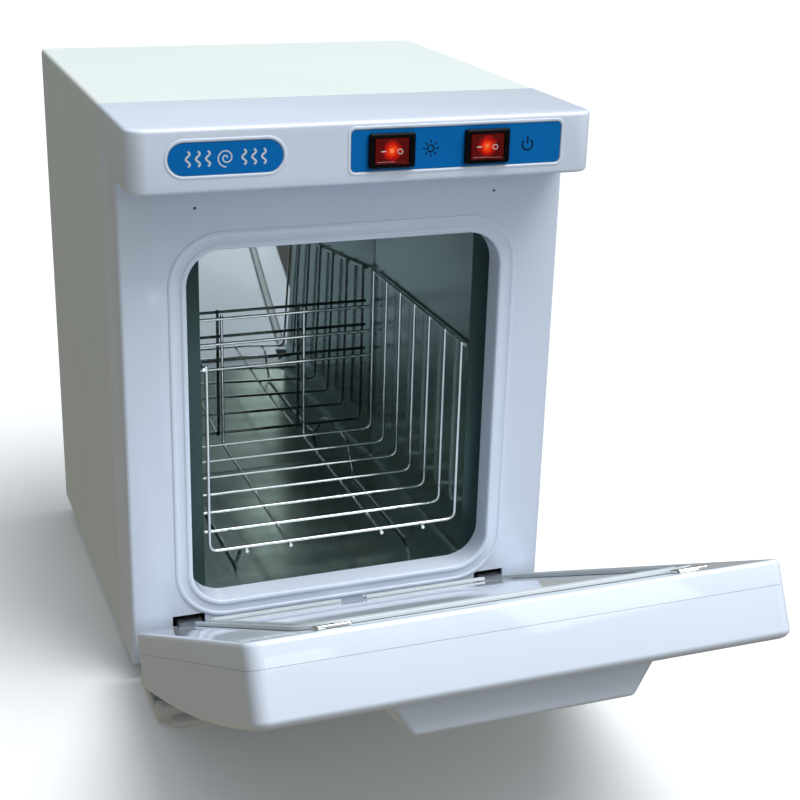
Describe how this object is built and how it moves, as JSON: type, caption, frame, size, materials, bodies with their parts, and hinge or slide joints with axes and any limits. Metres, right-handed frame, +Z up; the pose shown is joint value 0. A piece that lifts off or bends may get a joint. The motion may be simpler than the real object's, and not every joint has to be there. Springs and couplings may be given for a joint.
{
  "type": "hot towel cabinet",
  "caption": "Table-top towel warmer: sheet-metal cabinet with a moulded front and hood, drop-down door, heated bare-metal chamber, wire basket, rocker switches and a drip tray.",
  "frame": {"origin": "on the table under the middle of the cabinet with its door open, midway between the door's free edge and the gland at the back", "axes": "+X to the right seen from the front, +Y from the front to the back, +Z up"},
  "size_m": [0.275, 0.5554, 0.353],
  "materials": {
    "white_abs": "glossy bluish-white moulded ABS",
    "powder_coat": "white powder coat, semi-gloss",
    "bare_sheet": "bare rolled sheet, half mirror",
    "chrome": "bright chrome plate",
    "black_plastic": "black moulded nylon",
    "red_lens": "red translucent, lit from inside",
    "blue_film": "printed satin film",
    "silicone": "translucent silicone",
    "rubber": "black matt rubber",
    "fibre": "mineral fibre",
    "zinc_steel": "zinc plated",
    "lamp_glass": "clear lamp tube",
    "ceramic": "off-white ceramic or nylon",
    "tray_abs": "light grey moulded ABS"
  },
  "bodies": {
    "cabinet": {"front_frame": "white_abs", "outer_cover": "powder_coat", "rear_panel": "powder_coat", "base_plate": "bare_sheet", "chamber_liner": "bare_sheet", "component_shelf": "bare_sheet", "insulation": "fibre", "heating_element": "zinc_steel", "thermostat": "ceramic", "thermal_fuse": "ceramic", "uv_lamp": "lamp_glass", "lamp_holder_left": "ceramic", "lamp_holder_right": "ceramic", "lamp_guard": "chrome", "lamp_ballast": "black_plastic", "terminal_block": "ceramic", "cord_gland": "rubber", "foot_front_left": "rubber", "foot_front_right": "rubber", "foot_rear_left": "rubber", "foot_rear_right": "rubber", "rear_screw_1": "zinc_steel", "rear_screw_2": "zinc_steel", "rear_screw_3": "zinc_steel", "rear_screw_4": "zinc_steel", "rear_screw_5": "zinc_steel", "rear_screw_6": "zinc_steel", "hinge_arm_left": "zinc_steel", "hinge_arm_right": "zinc_steel", "catch_magnet_left": "black_plastic", "catch_magnet_right": "black_plastic", "uv_switch": "black_plastic", "power_switch": "black_plastic", "control_label": "blue_film", "badge_label": "blue_film", "tray_rail_left": "zinc_steel", "tray_rail_right": "zinc_steel"},
    "door": {"door_outer_shell": "white_abs", "door_inner_liner": "white_abs", "door_insulation": "fibre", "gasket_upper": "silicone", "gasket_lower_left": "silicone", "gasket_lower_right": "silicone", "strike_plate_left": "chrome", "strike_plate_right": "chrome", "hinge_pin_left": "chrome", "hinge_pin_right": "chrome", "hinge_bracket_left": "zinc_steel", "hinge_bracket_right": "zinc_steel"},
    "uv_rocker": {"uv_rocker": "red_lens"},
    "power_rocker": {"power_rocker": "red_lens"},
    "basket": {"basket": "chrome"},
    "drip_tray": {"drip_tray": "tray_abs"}
  },
  "joints": [
    {"name": "door_hinge", "type": "hinge", "parent": "cabinet", "child": "door", "pos_m": [0, -0.01051, 0.0265], "axis": [-1, 0, 0], "range_deg": [0, 62.5]},
    {"name": "uv_rocker_pivot", "type": "hinge", "parent": "cabinet", "child": "uv_rocker", "pos_m": [0.0108, -0.02701, 0.3362], "axis": [0, 0, 1], "range_deg": [0, 16]},
    {"name": "power_rocker_pivot", "type": "hinge", "parent": "cabinet", "child": "power_rocker", "pos_m": [0.0686, -0.02701, 0.3362], "axis": [0, 0, 1], "range_deg": [0, 16]},
    {"name": "basket_slide", "type": "slide", "parent": "cabinet", "child": "basket", "axis": [0, -1, 0], "range_m": [-0.004, 0.012]},
    {"name": "drip_tray_slide", "type": "slide", "parent": "cabinet", "child": "drip_tray", "axis": [0, -1, 0], "range_m": [0, 0.08]}
  ]
}
